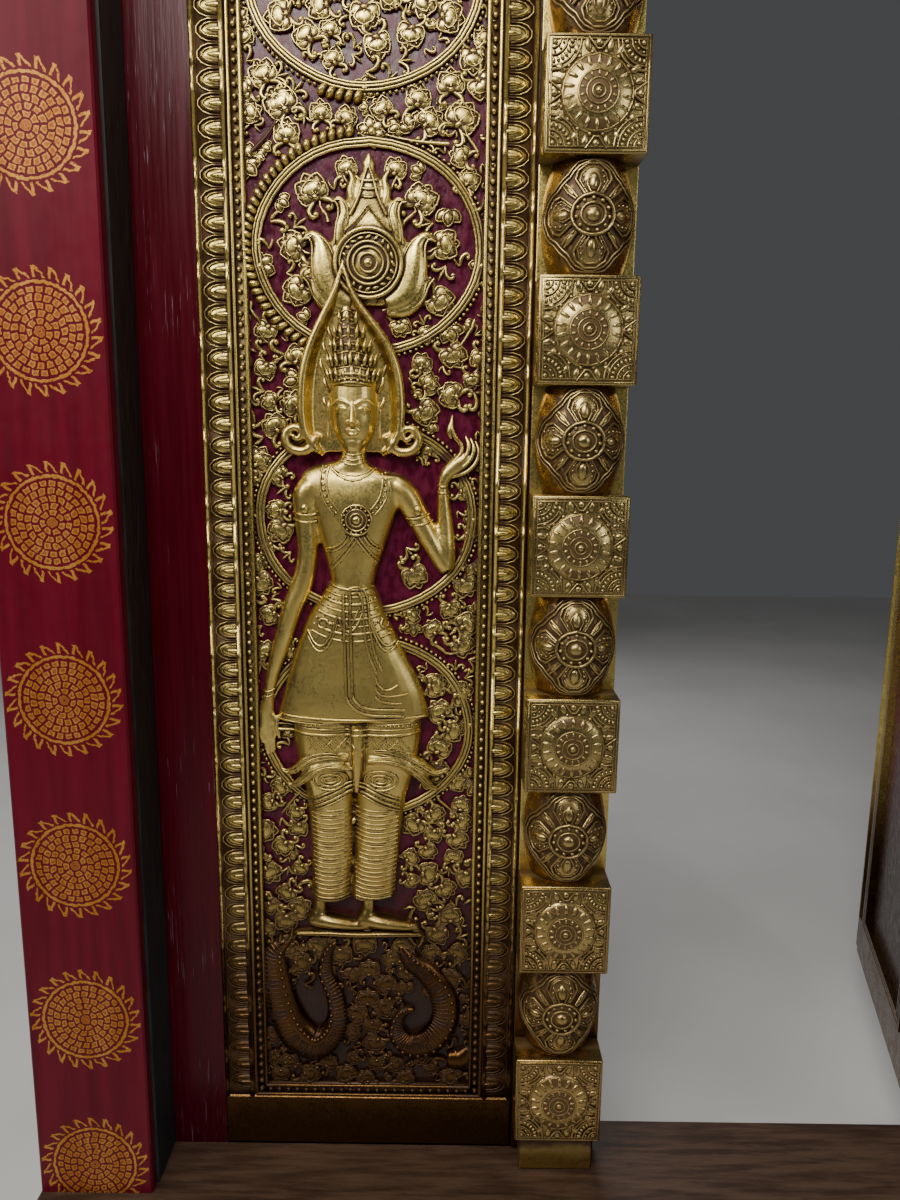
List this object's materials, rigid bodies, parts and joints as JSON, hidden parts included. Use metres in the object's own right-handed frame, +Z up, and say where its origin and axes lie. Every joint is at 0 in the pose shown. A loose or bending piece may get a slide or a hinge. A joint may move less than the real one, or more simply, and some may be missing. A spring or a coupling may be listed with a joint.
{
  "type": "carved temple door",
  "caption": "Double-leaf pivoted temple door in a timber frame; the carved and gilded leaf is closed, the plain one stands open, and a wooden bolt slides behind.",
  "frame": {"origin": "middle of the threshold's underside, below the plane of the frame's back where the leaves close", "axes": "+X to the viewer's right seen from the carved front, +Y through the doorway to the inside, +Z up"},
  "size_m": [1.6254, 0.7596, 2.4],
  "materials": {
    "bolt_wood": "hardwood polished by handling",
    "peg_wood": "dark hardwood",
    "charcoal_paint": "charcoal paint on hardwood",
    "crimson_lacquer": "crimson lacquer on hardwood, glossy and scratched",
    "gilding": "gold leaf on carved hardwood",
    "batten_lacquer": "thin dull red lacquer on hardwood",
    "carved_gilding": "gold leaf on carved hardwood over a maroon lacquered ground",
    "plain_timber": "oiled hardwood",
    "maroon_ground": "maroon lacquer on hardwood",
    "threshold_wood": "dark worn hardwood"
  },
  "bodies": {
    "frame": {"frame_pegs": "peg_wood", "head_beam": "charcoal_paint", "head_facing": "crimson_lacquer", "left_jamb": "charcoal_paint", "left_jamb_facing": "crimson_lacquer", "left_upper_pivot_block": "plain_timber", "right_jamb": "charcoal_paint", "right_jamb_facing": "crimson_lacquer", "right_upper_pivot_block": "plain_timber", "threshold": "threshold_wood"},
    "left_leaf": {"left_astragal": "gilding", "left_hinge_side_bead_moulding": "gilding", "left_hinge_stile": "crimson_lacquer", "left_inner_petal_moulding": "gilding", "left_leaf_pegs": "peg_wood", "left_lower_batten": "batten_lacquer", "left_lower_bead_moulding": "gilding", "left_lower_rail": "gilding", "left_meeting_side_bead_moulding": "gilding", "left_middle_batten": "batten_lacquer", "left_outer_petal_moulding": "gilding", "left_panel": "carved_gilding", "left_upper_batten": "batten_lacquer", "left_upper_bead_moulding": "gilding", "left_upper_rail": "gilding", "bolt_bracket_hinge_side": "bolt_wood", "bolt_bracket_meeting_side": "bolt_wood"},
    "right_leaf": {"right_bolt_keeper": "bolt_wood", "right_hinge_side_bead_moulding": "gilding", "right_hinge_stile": "crimson_lacquer", "right_inner_petal_moulding": "gilding", "right_leaf_pegs": "peg_wood", "right_lower_batten": "batten_lacquer", "right_lower_bead_moulding": "gilding", "right_lower_rail": "gilding", "right_meeting_side_bead_moulding": "gilding", "right_middle_batten": "batten_lacquer", "right_outer_petal_moulding": "gilding", "right_panel": "maroon_ground", "right_upper_batten": "batten_lacquer", "right_upper_bead_moulding": "gilding", "right_upper_rail": "gilding"},
    "bolt": {"bolt_bar": "bolt_wood", "bolt_knob": "bolt_wood"}
  },
  "joints": [
    {"name": "left_leaf_hinge", "type": "hinge", "parent": "frame", "child": "left_leaf", "pos_m": [-0.6225, 0.0255, 0.15], "axis": [0, 0, 1], "range_deg": [0, 105]},
    {"name": "right_leaf_hinge", "type": "hinge", "parent": "frame", "child": "right_leaf", "pos_m": [0.6225, 0.0255, 0.15], "axis": [0, 0, 1], "range_deg": [0, 105]},
    {"name": "bolt_slide", "type": "slide", "parent": "left_leaf", "child": "bolt", "axis": [1, 0, 0], "range_m": [0, 0.15]}
  ]
}
